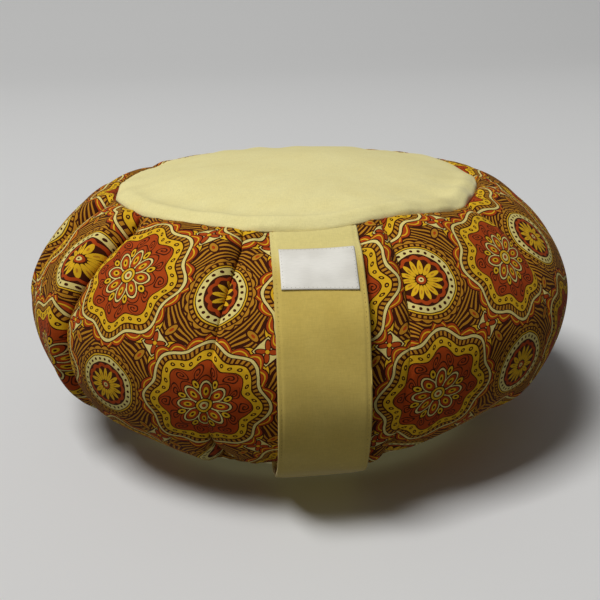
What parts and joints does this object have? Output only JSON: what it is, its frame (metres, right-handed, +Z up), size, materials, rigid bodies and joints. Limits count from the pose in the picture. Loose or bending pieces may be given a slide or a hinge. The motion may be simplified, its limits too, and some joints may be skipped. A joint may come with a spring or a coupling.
{
  "type": "meditation cushion",
  "caption": "Round firm floor cushion for seated meditation, with a pleated printed side, plain top and base, and a carrying strap sewn into both seams.",
  "frame": {"origin": "middle of the flat underside on which the cushion stands", "axes": "+Z up, the carrying strap on the -Y side"},
  "size_m": [0.3608, 0.3701, 0.17],
  "materials": {
    "printed_cotton": "matte printed cotton twill",
    "plain_cotton": "matte plain-weave cotton",
    "strap_cotton": "matte cotton, stitched along both edges",
    "label_satin": "woven label with a low sheen"
  },
  "bodies": {
    "root": {"side_wall": "printed_cotton", "top_panel": "plain_cotton", "base_panel": "plain_cotton", "strap": "strap_cotton", "label": "label_satin"}
  },
  "joints": []
}
